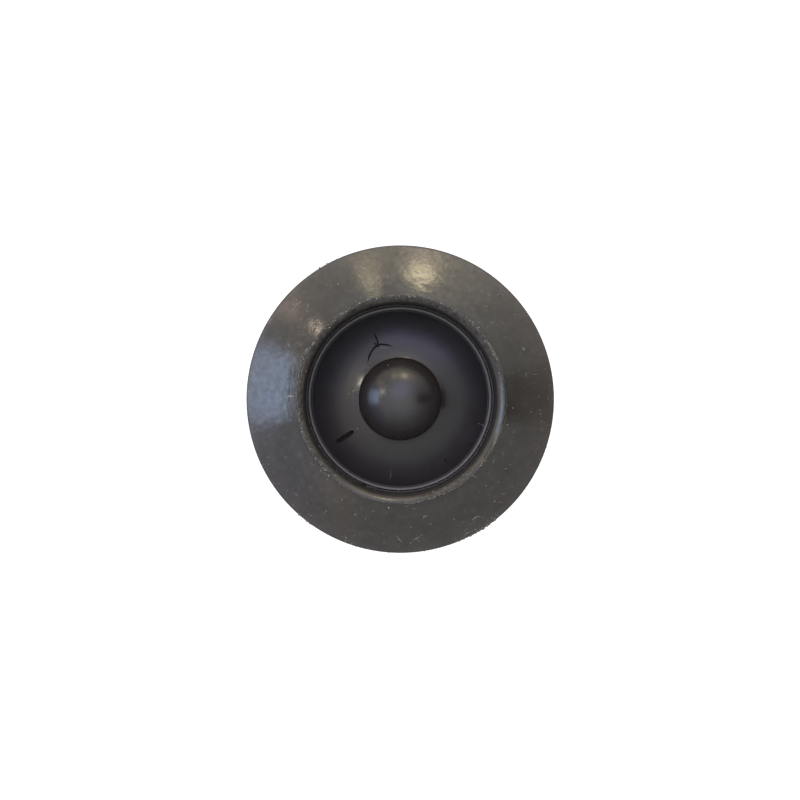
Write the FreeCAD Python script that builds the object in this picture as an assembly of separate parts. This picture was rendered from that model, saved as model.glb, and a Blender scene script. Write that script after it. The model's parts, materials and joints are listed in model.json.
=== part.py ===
"""A push-in drain plug for a boat's hull or cockpit drain, moulded in one piece of black rubber.

The head is a skirt, shaped like a shallow umbrella, round a deep crater. A bell-shaped core stands in
the crater and carries a round knob, and a narrow groove leaves the wall round it free to give. Below
the head a plain stem is pushed into the drain. A straight land at its top grips the hole, a tapered
nose under it finds the way in, and the skirt's flat edge seals on the surface round the hole.

Millimetres. +Z is the plug's own axis, out of the drain. The origin is where that axis crosses the
seating plane, the surface on which the skirt's edge seals. The whole solid is one revolved outline.
"""

import FreeCAD, Part
import math
import os

# What the plug fits.
drain_bore = 25.4
squeeze = 0.25  # how far the stem's rubber is pressed in, on the radius
land_length = 4.4  # the straight stretch of stem that grips the hole, below the seating plane

# The stem below the land.
stem_length = 13.0  # from the seating plane to the plug's foot
nose_taper = 10.0  # degrees from the axis
foot_chamfer = 1.0  # round the foot, on the radius and on the height

# The skirt.
skirt_reach = 5.812  # from the parting line round the crater out to the edge, on the radius
skirt_slope = 24.5  # degrees from the seating plane, halfway out
skirt_bow = 2.0  # degrees by which it is steeper at the edge and gentler at the crater
skirt_crown = 85.0  # radius that joins the gentler half to the steeper one
skirt_thickness = 1.3  # upright, where the skirt leaves the stem
edge_thickness = 0.4
seal_width = 1.1  # the flat ring under the edge
root_chamfer = 0.6  # between the skirt's underside and the stem, on the radius and on the height

# The crater.
stem_wall = 1.58  # between the crater and the stem's land
lip_round = 0.84  # from the parting line over into the crater's wall
crater_depth = 7.7  # from the lip down to the valley round the core
crater_draft = 1.5  # degrees, so that the moulded wall leaves its core pin

# The groove between the core and the crater's wall.
groove_width = 0.31
groove_depth = 0.25  # below the valley

# The bead on the core's rim.
bead_width = 0.3
bead_height = 0.35  # above the valley, on the side of the groove
bead_fall = 0.06  # by which its top is lower on the side of the knob
bead_side_slope = 65.0  # degrees, on the side of the knob

# The bell-shaped core.
bell_flare = 20.0  # degrees from level, at the knob's foot
bell_flare_reach = 0.65  # how far the flare runs out from the knob
bell_slope = 17.0  # degrees from level, beyond the flare
bell_flank = 31.0  # degrees from level, down to the valley
bell_shoulder = 1.7  # from the valley in to where the two slopes would meet, on the radius
bell_round = 12.5

# The knob on the core.
knob_radius = 4.83
knob_side = 1.2  # the upright side under the dome
knob_dome_tilt = 45.8  # degrees from level, where the dome meets the knob's rounded edge
knob_edge_round = 0.35


def rise(run, degrees):
    """The height gained over a level run at this slope."""
    return run * math.tan(math.radians(degrees))


def setback(rounding, turn):
    """How far from its corner a round starts, where the outline turns by this many degrees."""
    return rounding * math.tan(math.radians(turn / 2))


# What follows from the sizes.
stem_radius = drain_bore / 2 + squeeze
crater_radius = stem_radius - stem_wall
lip_radius = crater_radius + setback(lip_round, 90 - crater_draft)
skirt_radius = lip_radius + skirt_reach
crown_radius = skirt_radius - skirt_reach / 2
crown_height = edge_thickness + rise(skirt_reach / 2, skirt_slope + skirt_bow)
lip_height = crown_height + rise(skirt_reach / 2, skirt_slope - skirt_bow)
valley_height = lip_height - crater_depth
groove_floor = valley_height - groove_depth


def stem_corners():
    """The stem and the skirt's underside, from the foot's middle out to the skirt's edge."""
    nose_fall = math.tan(math.radians(nose_taper))
    nose_radius = stem_radius - (stem_length - land_length) * nose_fall
    skirt_top_at_stem = lip_height - rise(stem_radius - lip_radius, skirt_slope - skirt_bow)
    root_height = skirt_top_at_stem - skirt_thickness
    underside_radius = skirt_radius - seal_width
    underside_fall = root_height / (underside_radius - stem_radius)
    return [
        (0, -stem_length, 0),
        (nose_radius - foot_chamfer, -stem_length, 0),
        (nose_radius + foot_chamfer * nose_fall, -stem_length + foot_chamfer, 0),
        (stem_radius, -land_length, 0),
        (stem_radius, root_height - root_chamfer, 0),
        (stem_radius + root_chamfer, root_height - root_chamfer * underside_fall, 0),
        (underside_radius, 0, 0),
        (skirt_radius, 0, 0),
    ]


def skirt_corners():
    """The skirt's edge, its slightly bowed top and the lip of the crater."""
    return [
        (skirt_radius, edge_thickness, 0),
        (crown_radius, crown_height, skirt_crown),
        (lip_radius, lip_height, 0),
        (crater_radius, lip_height, lip_round),
    ]


def groove_corners():
    """The crater's wall, the groove at its foot and the bead on the core's rim, up to the valley."""
    wall_foot = crater_radius - (lip_height - groove_floor) * math.tan(math.radians(crater_draft))
    bead_outside = wall_foot - groove_width
    bead_inside = bead_outside - bead_width
    bead_top = valley_height + bead_height
    valley_radius = bead_inside - (bead_height - bead_fall) / math.tan(math.radians(bead_side_slope))
    return [
        (wall_foot, groove_floor, 0),
        (bead_outside, groove_floor, 0),
        (bead_outside, bead_top, 0),
        (bead_inside, bead_top - bead_fall, 0),
        (valley_radius, valley_height, 0),
    ]


def bell_corners(valley_radius):
    """The core's shoulder, where its gentle top meets its steeper flank, its flare and the knob's foot."""
    shoulder_radius = valley_radius - bell_shoulder
    shoulder_height = valley_height + rise(bell_shoulder, bell_flank)
    flare_radius = knob_radius + bell_flare_reach
    flare_height = shoulder_height + rise(shoulder_radius - flare_radius, bell_slope)
    foot_height = flare_height + rise(bell_flare_reach, bell_flare)
    return [
        (shoulder_radius, shoulder_height, bell_round),
        (flare_radius, flare_height, 0),
        (knob_radius, foot_height, 0),
    ]


def knob_corners(foot_height):
    """The knob's side, its rounded edge and its dome, which ends level on the axis."""
    tilt = math.radians(knob_dome_tilt)
    side_top = foot_height + knob_side
    edge_reach = setback(knob_edge_round, 90 - knob_dome_tilt)
    dome_radius = (knob_radius - edge_reach * math.cos(tilt)) / math.sin(tilt)
    dome_top = side_top + edge_reach * math.sin(tilt) + dome_radius * (1 - math.cos(tilt))
    return [
        (knob_radius, side_top, knob_edge_round),
        (dome_radius * math.tan(tilt / 2), dome_top, dome_radius),
        (0, dome_top, 0),
    ]


def setbacks(points, roundings):
    """How far before and after each corner its round starts, kept within the sides that it shares."""
    wanted = []
    for i, rounding in enumerate(roundings):
        if rounding == 0:
            wanted.append(0.0)
            continue
        turn = (points[i] - points[i - 1]).getAngle(points[i + 1] - points[i])
        wanted.append(setback(rounding, math.degrees(turn)))
    allowed = list(wanted)
    for i in range(len(points) - 1):
        side = (points[i + 1] - points[i]).Length
        both = wanted[i] + wanted[i + 1]
        if both > side:
            for end in (i, i + 1):
                allowed[end] = min(allowed[end], wanted[end] * side / both)
    return allowed


def rounded_outline(corners):
    """The outline's edges in the XZ plane: straight sides, with a tangent arc at each rounded corner."""
    points = [FreeCAD.Vector(radius, 0, height) for radius, height, rounding in corners]
    reach = setbacks(points, [rounding for radius, height, rounding in corners])
    edges = []
    here = points[0]
    for i in range(1, len(points)):
        back = (points[i - 1] - points[i]).normalize()
        start = points[i] + back * reach[i]
        if (start - here).Length > 1e-4:
            edges.append(Part.LineSegment(here, start).toShape())
            here = start
        if reach[i] == 0:
            continue
        ahead = (points[i + 1] - points[i]).normalize()
        end = points[i] + ahead * reach[i]
        half_turn = back.getAngle(ahead) / 2
        inward = (back + ahead).normalize()
        middle = points[i] + inward * (reach[i] / math.cos(half_turn) - reach[i] * math.tan(half_turn))
        edges.append(Part.Arc(here, middle, end).toShape())
        here = end
    return edges, here


def plug():
    """The whole plug, turned from its half section."""
    groove = groove_corners()
    bell = bell_corners(groove[-1][0])
    corners = stem_corners() + skirt_corners() + groove + bell + knob_corners(bell[-1][1])
    edges, top = rounded_outline(corners)
    foot = FreeCAD.Vector(0, 0, -stem_length)
    edges.append(Part.LineSegment(top, foot).toShape())
    section = Part.Face(Part.Wire(edges))
    return section.revolve(FreeCAD.Vector(0, 0, 0), FreeCAD.Vector(0, 0, 1), 360)


def main():
    os.makedirs("parts", exist_ok=True)
    drain_plug = plug()
    drain_plug.exportStep("parts/drain_plug.step")
    box = drain_plug.BoundBox
    print("drain_plug:", drain_plug.ShapeType, "valid", drain_plug.isValid())
    print("solids", len(drain_plug.Solids), "faces", len(drain_plug.Faces))
    print("across", round(box.XLength, 3), "tall", round(box.ZLength, 3))
    print("from", round(box.ZMin, 3), "to", round(box.ZMax, 3))
    print("volume", round(drain_plug.Volume, 1), "cubic mm")
    print("lip height", round(lip_height, 3), "valley height", round(valley_height, 3))


main()
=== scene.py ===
# %% [markdown]
# # A drain plug in black rubber
#
# The object is a push-in plug for a boat's drain, moulded in one piece. Its head is a sloping skirt
# round a crater, and a bell-shaped core with a knob stands in the crater. The photograph looks straight
# down on it. The CAD part gives its form. This script gives it a rubber skin, the ragged edge that the
# mould left, a crack, a nick, dust and lint, and the light that shows them.

# %% Load the CAD part
import bmesh
import bpy
import json
import math
import random
from mathutils import Matrix, Vector, noise

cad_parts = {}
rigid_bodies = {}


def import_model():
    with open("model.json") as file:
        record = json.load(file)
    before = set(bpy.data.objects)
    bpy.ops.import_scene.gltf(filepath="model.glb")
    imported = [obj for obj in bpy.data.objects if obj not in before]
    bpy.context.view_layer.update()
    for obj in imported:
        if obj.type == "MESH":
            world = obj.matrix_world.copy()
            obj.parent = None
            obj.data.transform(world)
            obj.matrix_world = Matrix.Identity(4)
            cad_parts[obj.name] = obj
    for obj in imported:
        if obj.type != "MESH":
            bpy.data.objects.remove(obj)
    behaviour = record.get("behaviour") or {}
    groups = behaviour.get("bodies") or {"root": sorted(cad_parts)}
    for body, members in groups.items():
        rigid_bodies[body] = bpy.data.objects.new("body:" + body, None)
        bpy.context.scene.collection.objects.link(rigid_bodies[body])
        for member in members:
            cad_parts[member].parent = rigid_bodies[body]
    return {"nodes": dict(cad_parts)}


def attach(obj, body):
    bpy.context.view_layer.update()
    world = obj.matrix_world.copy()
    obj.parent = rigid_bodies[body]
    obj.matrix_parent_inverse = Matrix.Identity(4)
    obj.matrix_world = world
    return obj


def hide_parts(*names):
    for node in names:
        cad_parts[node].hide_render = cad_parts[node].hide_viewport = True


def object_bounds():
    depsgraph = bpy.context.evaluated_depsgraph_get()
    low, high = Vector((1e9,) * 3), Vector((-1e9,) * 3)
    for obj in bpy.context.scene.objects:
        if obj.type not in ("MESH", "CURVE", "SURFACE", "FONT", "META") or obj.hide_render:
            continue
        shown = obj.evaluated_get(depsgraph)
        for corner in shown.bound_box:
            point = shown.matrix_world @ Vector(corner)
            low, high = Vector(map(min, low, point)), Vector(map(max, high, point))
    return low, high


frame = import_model()
cad_low, cad_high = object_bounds()
MM = 0.001
skirt_radius = cad_high.x
random.seed(7)
print("CAD box, mm:", [round(v / MM, 2) for v in (*cad_low, *cad_high)])

# %% [markdown]
# ## The moulded outline
#
# A part that came off a lathe-turned mould has one outline all the way round, so it is made by turning
# that outline about its axis. The CAD solid already holds the outline: its mesh has a seam, a line of
# edges that runs down the plug at the +X side. All other vertices are deleted, and what is left is a
# wire in the XZ plane. A flat foot has no vertex in its middle, so the wire is drawn out to the axis.
#
# Mould makers break every sharp corner a little, so each corner of the wire gets a small round. The
# core's sloping top is cut into short steps and then smoothed, because the crack and the nick need
# a fine and even mesh there.

# %% Outline
CORNER_ANGLE = math.radians(15)
CORNER_ROUND = 0.07 * MM
CORE_STEP = 0.12 * MM
FLARE_RADIUS = 5.4 * MM
KNOB_RADIUS = 4.83 * MM
BEAD_RADIUS = 10.4 * MM
CORE_TOP = -2.4 * MM  # where the knob's side begins
CORE_BOTTOM = -5 * MM  # below the groove's floor
VALLEY_BOTTOM = -4.8 * MM  # below the valley, above the groove's floor
CORE_SMOOTHING = 10
SAME_POINT = 1e-7  # metres: vertices closer than this are one


def outline_from(node):
    """A bmesh that holds only the seam of a turned CAD node, in the XZ plane, from pole to pole."""
    bm = bmesh.new()
    bm.from_mesh(frame["nodes"][node].data)
    bmesh.ops.remove_doubles(bm, verts=bm.verts, dist=SAME_POINT)
    off_seam = [v for v in bm.verts if abs(v.co.y) > SAME_POINT or v.co.x < -SAME_POINT]
    bmesh.ops.delete(bm, geom=off_seam, context="VERTS")
    chords = [e for e in bm.edges
              if min(v.co.x for v in e.verts) < SAME_POINT and len(e.verts[0].link_edges) > 2]
    bmesh.ops.delete(bm, geom=chords, context="EDGES")
    open_ends = [v for v in bm.verts if len(v.link_edges) == 1 and v.co.x > SAME_POINT]
    for pole in bmesh.ops.extrude_vert_indiv(bm, verts=open_ends)["verts"]:
        pole.co.x = 0
    return bm


def turn_at(vertex):
    """How sharply the wire turns at one of its vertices."""
    if len(vertex.link_edges) != 2:
        return 0.0
    a, b = (e.other_vert(vertex).co - vertex.co for e in vertex.link_edges)
    return math.pi - a.angle(b)


def on_core(edge):
    """Whether an edge of the wire lies on the core's sloping top."""
    middle = (edge.verts[0].co + edge.verts[1].co) / 2
    low = min(v.co.z for v in edge.verts)
    on_slope = KNOB_RADIUS < middle.x < BEAD_RADIUS and CORE_BOTTOM < low < CORE_TOP
    return on_slope and edge.calc_length() > CORE_STEP


outline = outline_from("drain_plug")
corners = [v for v in outline.verts if turn_at(v) > CORNER_ANGLE]
bmesh.ops.bevel(outline, geom=corners, affect="VERTICES", offset=CORNER_ROUND, segments=3, profile=0.5,
                clamp_overlap=True)
core_edges = [e for e in outline.edges if on_core(e)]
for edge in core_edges:
    bmesh.ops.subdivide_edges(outline, edges=[edge], cuts=int(edge.calc_length() / CORE_STEP))
core_points = [v for v in outline.verts if FLARE_RADIUS < v.co.x < BEAD_RADIUS - 0.1 * MM
               and VALLEY_BOTTOM < v.co.z < CORE_TOP]
for _ in range(CORE_SMOOTHING):
    bmesh.ops.smooth_vert(outline, verts=core_points, factor=0.5, use_axis_x=False, use_axis_z=True)
print("outline:", len(outline.verts), "points,", len(corners), "corners,", len(core_points), "on the core")

# %% [markdown]
# ## Places in the photograph
#
# The plug is round and is seen along its axis, so a mark on it has a place in the image that turns
# straight into a place on the plug. The skirt's edge is a circle in the photograph. Its centre and its
# radius in pixels fix the scale. The camera stands a little to the left of the axis, so what lies deep
# in the crater shifts a little, and the line of sight is followed down to the surface.

# %% From pixels to the plug
PHOTO_SIDE = 800
SKIRT_CENTRE_PX = Vector((400.24, 399.12))
SKIRT_RADIUS_PX = 153.9
PIXEL = skirt_radius / SKIRT_RADIUS_PX
EDGE_HEIGHT = 0.4 * MM  # the skirt's edge, above the seating plane
INSIDE_EDGE = 0.999 * skirt_radius  # just inside that edge, where the outline still has a height
CAMERA_DISTANCE = 0.42  # metres, above the skirt's edge
CAMERA_LEAN = Vector((-0.008, 0.010))  # how far off the axis it stands, in metres for each metre

camera_place = Vector((*(CAMERA_LEAN * CAMERA_DISTANCE), EDGE_HEIGHT + CAMERA_DISTANCE))
profile = [tuple(v.co.copy() for v in e.verts) for e in outline.edges]


def height_at(radius):
    """The height of the plug's upper surface at this distance from its axis."""
    best = cad_low.z
    for a, b in profile:
        low, high = sorted((a.x, b.x))
        if low <= radius <= high and high > low:
            best = max(best, a.z + (b.z - a.z) * (radius - a.x) / (b.x - a.x))
    return best


def place(px, py):
    """The point on the plug's upper surface under a pixel of the photograph."""
    offset = (Vector((px, py)) - SKIRT_CENTRE_PX) * PIXEL
    seen = Vector((offset.x, -offset.y, EDGE_HEIGHT))
    point = seen
    for _ in range(3):
        height = height_at(min(point.xy.length, INSIDE_EDGE))
        point = seen + (camera_place - seen) * (height - EDGE_HEIGHT) / CAMERA_DISTANCE
    return point


print("one pixel is", round(PIXEL / MM, 4), "mm")
print("the crack's middle, mm:", [round(v / MM, 2) for v in place(378.2, 345.2)])

# %% [markdown]
# ## The crack and the nick
#
# The rubber has torn open in a crack with three arms, and something has gouged a nick in it. Both are
# real hollows, so they are made in the mesh and not with paint: each vertex near a mark sinks by its
# distance from the mark's line. A crack is a steep furrow that tapers to nothing at its far end, and a
# nick is a round trough with blunt ends. Torn rubber also stands up a little beside the tear, which
# catches the light.

# %% Marks
# Each mark: points in pixels, half width and depth in pixels, and the height of its raised edge.
MARKS = [
    ([(378.2, 345.2), (377.6, 341.2), (375.6, 336.0), (373.9, 330.2)], 0.45, 1.5, 0.3),
    ([(378.2, 345.2), (381.2, 344.4), (385.4, 344.9), (389.6, 345.6), (393.4, 347.4)], 0.45, 1.7, 0.4),
    ([(378.2, 345.2), (374.6, 347.8), (371.4, 351.9), (369.0, 357.0), (367.5, 364.6)], 0.52, 1.9, 0.4),
    ([(378.2, 345.2), (375.6, 344.0), (372.8, 343.0)], 0.4, 1.0, 0.3),
    ([(377.4, 346.4), (379.0, 344.2)], 1.0, 2.4, 0.0),
    ([(336.4, 442.3), (340.2, 440.2), (347.8, 435.1), (352.6, 431.8)], 2.2, 2.4, 0.2),
    ([(445.2, 458.6), (445.9, 463.2)], 0.5, 0.9, 0.2),
    ([(469.2, 443.9), (472.0, 445.6)], 0.5, 0.7, 0.25),
]
NARROW = 1.2 * PIXEL  # a mark with less than this half width is a crack
EDGE_ROUGHNESS = 0.4  # share by which the mark's width wanders
EDGE_GRAIN = 3500  # wanders for each metre


def distance_to(path, point):
    """The distance in the plan from a point to a path of points, and how far along the path it lies."""
    best, along, travelled = 1e9, 0.0, 0.0
    total = sum((b - a).length for a, b in zip(path, path[1:]))
    for a, b in zip(path, path[1:]):
        span = b - a
        t = max(0.0, min(1.0, (point - a).dot(span) / span.length_squared))
        gap = (point - a - span * t).length
        if gap < best:
            best, along = gap, (travelled + span.length * t) / total
        travelled += span.length
    return best, along


def sink(marks, vertex):
    """How far a vertex moves up or down near the marks."""
    move = 0.0
    for path, half, depth, edge in marks:
        gap, along = distance_to(path, vertex.co.xy)
        if gap > 4 * half:
            continue
        # A crack tapers from its start to its far end, and a nick is blunt at both.
        narrow = half < NARROW
        taper = min(1.0, 0.15 + 2.2 * (1 - along)) if narrow else min(1.0, 0.6 + 6 * min(along, 1 - along))
        rough = 1 + EDGE_ROUGHNESS * noise.noise(Vector((vertex.co.x, vertex.co.y, depth)) * EDGE_GRAIN)
        reach = half * taper * rough
        bowl = 1 - (gap / reach) ** (4 if narrow else 2)
        move = min(move, -depth * taper * bowl) if gap < reach else move
        # Just outside the mark the rubber stands up in a low ridge.
        if gap >= reach and move == 0:
            move = edge * taper * math.exp(-((gap - 1.3 * reach) / (0.6 * reach)) ** 2)
    return move


marks = [([place(*p).xy for p in path], half * PIXEL, depth * PIXEL, edge * PIXEL)
         for path, half, depth, edge in MARKS]
print("marks:", len(marks), "and their depths, mm:", [round(mark[2] / MM, 2) for mark in marks])

# %% [markdown]
# ## The trimmed lip
#
# The mould left a fin of rubber round the crater's lip, and somebody cut it off with a blade. Most of
# the lip is ragged, but on two stretches the blade went round clean and left a narrow bevel. A bevel
# that leans towards the crater mirrors another part of the room than the skirt does, which is why the
# photograph shows a bright crescent there. The cut also took the crest a little inwards, and not quite
# evenly.

# %% Lip
CREST_RADIUS = 12.22 * MM
BEVEL_WIDTH = 0.6 * MM
BEVEL_BEND = 0.15  # how much steeper the bevel is at its foot than at the crest
LIP_TRIM = (1.2, Vector((0.35, 0.2)))  # in pixels: how far in the crest lies, and how far off centre
LEAST_RAGGED = 0.1  # what is left of the raggedness on a clean stretch
RAGGED_BLEND = 8  # degrees over which a clean stretch begins, each side of its end

# Where the lip was trimmed clean: the middle's bearing, half the stretch in degrees, slope at the crest.
SMOOTH_LIP = [(98, 34, 0.40), (194, 22, 0.31)]


def ragged_at(bearing):
    """How much torn rubber is left on the lip at this bearing, from 0.1 to 1."""
    most = 1.0
    for middle, half, _ in SMOOTH_LIP:
        off = abs((bearing - middle + 180) % 360 - 180)
        most = min(most, max(LEAST_RAGGED, min(1.0, (off - half + RAGGED_BLEND) / (2 * RAGGED_BLEND))))
    return most


def bevel_drop(spot, height):
    """How far a point of the lip's round moves up to lie on the bevel of the nearest clean stretch."""
    inward = CREST_RADIUS - spot.length
    bearing = math.degrees(math.atan2(spot.x, spot.y))
    if inward <= 0:
        return 0.0
    slope = min(SMOOTH_LIP, key=lambda stretch: abs((bearing - stretch[0] + 180) % 360 - 180))[2]
    run = min(inward, BEVEL_WIDTH)
    wanted = height_at(CREST_RADIUS) - slope * run - BEVEL_BEND * run ** 2 / (2 * BEVEL_WIDTH)
    now = height if inward <= BEVEL_WIDTH else height_at(CREST_RADIUS - BEVEL_WIDTH)
    return (wanted - now) * (1 - ragged_at(bearing)) / (1 - LEAST_RAGGED)


# %% [markdown]
# ## The body
#
# A spin turns the wire through a full circle, in steps fine enough for a smooth edge in the render. The
# faces round the crack and the nick are cut finer before their vertices sink, because a hollow can't be
# narrower than the faces that make it. How deep each vertex sank is kept in an attribute, so that the
# rubber's material can paint shade into the hollows, darker the deeper they are. Last, the lip is
# trimmed: its vertices move in, onto the bevel, and up and down by noise where it is ragged.

# %% Turn the outline
TURN_STEPS = 480
FINE_CUTS = 3
FULL_SHADE_DEPTH = 1.2 * PIXEL  # from this depth on, the painted shade in a hollow is at its darkest
LIP_UNEVEN = 0.045 * MM
SLOW_WANDER, QUICK_WANDER = 34, 80  # how often the crest wanders, on a circle of radius 1

# The blade worked on the lip between these distances from the axis, fully so once it is a little inside
# them, and above this height. Outside the crest it left the skirt's skin even.
LIP_INSIDE, LIP_INSIDE_BLEND = 11.4 * MM, 0.5 * MM
LIP_OUTSIDE, LIP_OUTSIDE_BLEND = 13.2 * MM, 0.8 * MM
LIP_BOTTOM = 0.7 * MM
CREST_OUTSIDE = 12.24 * MM


def turned(wire, steps):
    """Spins a wire into a closed body of revolution with its faces outwards."""
    bm = wire.copy()
    geometry = bm.verts[:] + bm.edges[:]
    bmesh.ops.spin(bm, geom=geometry, cent=(0, 0, 0), axis=(0, 0, 1), angle=math.tau, steps=steps,
                   use_merge=True)
    bmesh.ops.remove_doubles(bm, verts=bm.verts, dist=SAME_POINT)
    bmesh.ops.recalc_face_normals(bm, faces=bm.faces)
    return bm


def near(marks, face):
    """Whether a face of the core lies beside a mark."""
    middle = face.calc_center_median()
    if not (KNOB_RADIUS < middle.xy.length < BEAD_RADIUS and middle.z > CORE_BOTTOM):
        return False
    return any(distance_to(path, middle.xy)[0] < 3 * half + CORE_STEP for path, half, _, _ in marks)


def trim_lip(vertex):
    """Moves one vertex of the lip to where the blade left it."""
    reach = vertex.co.xy.length
    vertex.co.z += bevel_drop(vertex.co.xy, vertex.co.z)
    around = Vector((vertex.co.x, vertex.co.y, 0)).normalized()
    part = min(1.0, (reach - LIP_INSIDE) / LIP_INSIDE_BLEND, (LIP_OUTSIDE - reach) / LIP_OUTSIDE_BLEND)
    vertex.co -= around * LIP_TRIM[0] * PIXEL * part
    vertex.co.xy += LIP_TRIM[1] * PIXEL * part
    if reach < CREST_OUTSIDE:
        bearing = math.degrees(math.atan2(around.x, around.y))
        rough = noise.noise(around * SLOW_WANDER)
        rough += 0.7 * noise.noise(around * QUICK_WANDER + Vector((0, 0, 4)))
        vertex.co += (around * 0.5 + Vector((0, 0, 1))) * rough * LIP_UNEVEN * ragged_at(bearing)


body = turned(outline, TURN_STEPS)
# how deep each vertex sank, for the painted shade in the hollows
hollow_shade = body.verts.layers.float.new("hollow_shade")
marked = [f for f in body.faces if near(marks, f)]
edges = list({e for f in marked for e in f.edges})
cut = bmesh.ops.subdivide_edges(body, edges=edges, cuts=FINE_CUTS, use_grid_fill=True)
fine = {v for v in cut["geom_inner"] if isinstance(v, bmesh.types.BMVert)}
fine.update(v for f in marked if f.is_valid for v in f.verts)
for vertex in fine:
    if vertex.co.z > CORE_BOTTOM:
        move = sink(marks, vertex)
        vertex[hollow_shade] = min(1.0, max(0.0, -move / FULL_SHADE_DEPTH))
        vertex.co.z += move
for vertex in body.verts:
    if LIP_INSIDE < vertex.co.xy.length < LIP_OUTSIDE and vertex.co.z > LIP_BOTTOM:
        trim_lip(vertex)
print("body:", len(body.faces), "faces,", len(marked), "of them cut finer")

# %% [markdown]
# ## Materials
#
# Each colour is written as sRGB hex, as a paint chart gives it, and one function turns it to the linear
# values of a shader. Patterns follow Object coordinates, which are metres here, so one function turns
# the size of a pattern's cells, in millimetres, to the scale of its texture. One more function adds a
# node with its settings and its links.

# %% Material helpers


def linear(code):
    """An sRGB hex colour such as 3a3a3c as linear RGBA."""
    channels = [int(code[i:i + 2], 16) / 255 for i in (0, 2, 4)]
    return [c / 12.92 if c <= 0.04045 else ((c + 0.055) / 1.055) ** 2.4 for c in channels] + [1.0]


def scale_of(cell_mm):
    """The texture scale that gives a pattern cells of this size in millimetres."""
    return 1 / (cell_mm * MM)


def add(tree, kind, settings=None, **inputs):
    """Adds a node. Settings are its properties, inputs are values or sockets to link, by socket name."""
    node = tree.nodes.new(kind)
    for key, value in (settings or {}).items():
        setattr(node, key, value)
    for key, value in inputs.items():
        socket = node.inputs[int(key[2:]) if key.startswith("in") else key.replace("_", " ")]
        if isinstance(value, bpy.types.NodeSocket):
            tree.links.new(value, socket)
        else:
            socket.default_value = value
    return node


def new_material(name):
    """An empty material and its node tree."""
    material = bpy.data.materials.new(name)
    material.use_nodes = True
    material.node_tree.nodes.clear()
    return material, material.node_tree


# %% [markdown]
# ### Rubber
#
# Moulded nitrile or neoprene is a soft black with a refractive index of about 1.52. What the finger
# touches stays cleaner than what lies deep, so its colour and its roughness change with the distance
# from the axis: a clean and glossy knob, a film of dust low in the crater, a scuffed bead and lip,
# and a skirt that bloomed to grey. Light and shade are painted into this table too: the knob's rim is
# a little lighter, a painted reflection, its edge and foot are darker, a painted shade, and the lip's
# inner band is lighter, partly dust and partly a painted highlight. The plug is round, so one colour
# ramp over the distance from the axis holds the whole table, with roughness in its alpha. Its B-spline
# runs smoothly between the stops.

# %% Finish by distance from the axis
RUBBER_IOR = 1.52
HIDDEN_COLOUR, HIDDEN_ROUGHNESS = "2b2a29", 0.34  # the stem and the underside

# Distance from the axis in photo pixels, colour, roughness.
FINISH = [
    (0, "272628", 0.21),
    (15, "272527", 0.22),
    (24, "262425", 0.23),
    # painted reflection: from here the knob's rim is a little lighter
    (34, "282525", 0.24),
    (38, "2a2625", 0.24),
    # painted shade: darker at the knob's edge and foot
    (40.6, "231f1f", 0.23),
    (42.2, "2a2827", 0.15),
    (44.6, "282626", 0.17),
    (48, "252324", 0.33),
    (54, "252324", 0.37),
    (60, "252324", 0.40),
    (74, "2c2a2d", 0.42),
    (86.5, "302e32", 0.37),
    (88.0, "272526", 0.45),
    (89.7, "272526", 0.45),
    (90.3, "4e4b4b", 0.30),
    (92.2, "4e4b4b", 0.32),
    (92.8, "363334", 0.46),
    (95.6, "33302f", 0.50),
    (96.7, "2e2a26", 0.50),
    # the lip's inner band is lighter, partly dust and partly a painted highlight
    (97.1, "57534e", 0.30),
    (99.0, "504d48", 0.14),
    (101.0, "35332e", 0.13),
    (103.0, "2a2826", 0.13),
    (104.5, "353330", 0.09),
    (111.0, "3b3935", 0.09),
    (128.0, "3b3935", 0.17),
    (148.0, "45423f", 0.19),
    (153.5, "4a4744", 0.26),
]


def finish_ramp(tree, share):
    """The ramp that holds the rubber's colour and roughness over the share of the skirt's radius."""
    ramp = add(tree, "ShaderNodeValToRGB", Fac=share)
    ramp.color_ramp.interpolation = "B_SPLINE"
    stops = ramp.color_ramp.elements
    while len(stops) < len(FINISH):
        stops.new(0.5)
    for stop, (distance, code, roughness) in zip(stops, FINISH):
        stop.position = distance / SKIRT_RADIUS_PX
        stop.color = (*linear(code)[:3], roughness)
    return ramp


print("finish:", len(FINISH), "stops")

# %% [markdown]
# ### Painted reflection on the core
#
# A bluish reflection of the pale sky is painted into the core's colour, in a crescent on one side of the
# core. It is a weak mask that fades with the bearing, through the dot product of two directions, and
# that begins and ends at certain distances from the axis.

# %% Painted reflection
# painted reflection: the bluish tone laid over the core's colour
PAINTED_REFLECTION_COLOUR = "50506a"
PAINTED_REFLECTION_BEARING = 16.0
PAINTED_REFLECTION_REACH = 0.50  # the cosine of the 60 degrees over which it fades to nothing, to each side
PAINTED_REFLECTION_BAND_PX = (46, 60, 62, 78)  # begins, is full, begins to fade, has faded
PAINTED_REFLECTION_STRENGTH = 0.20


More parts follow.
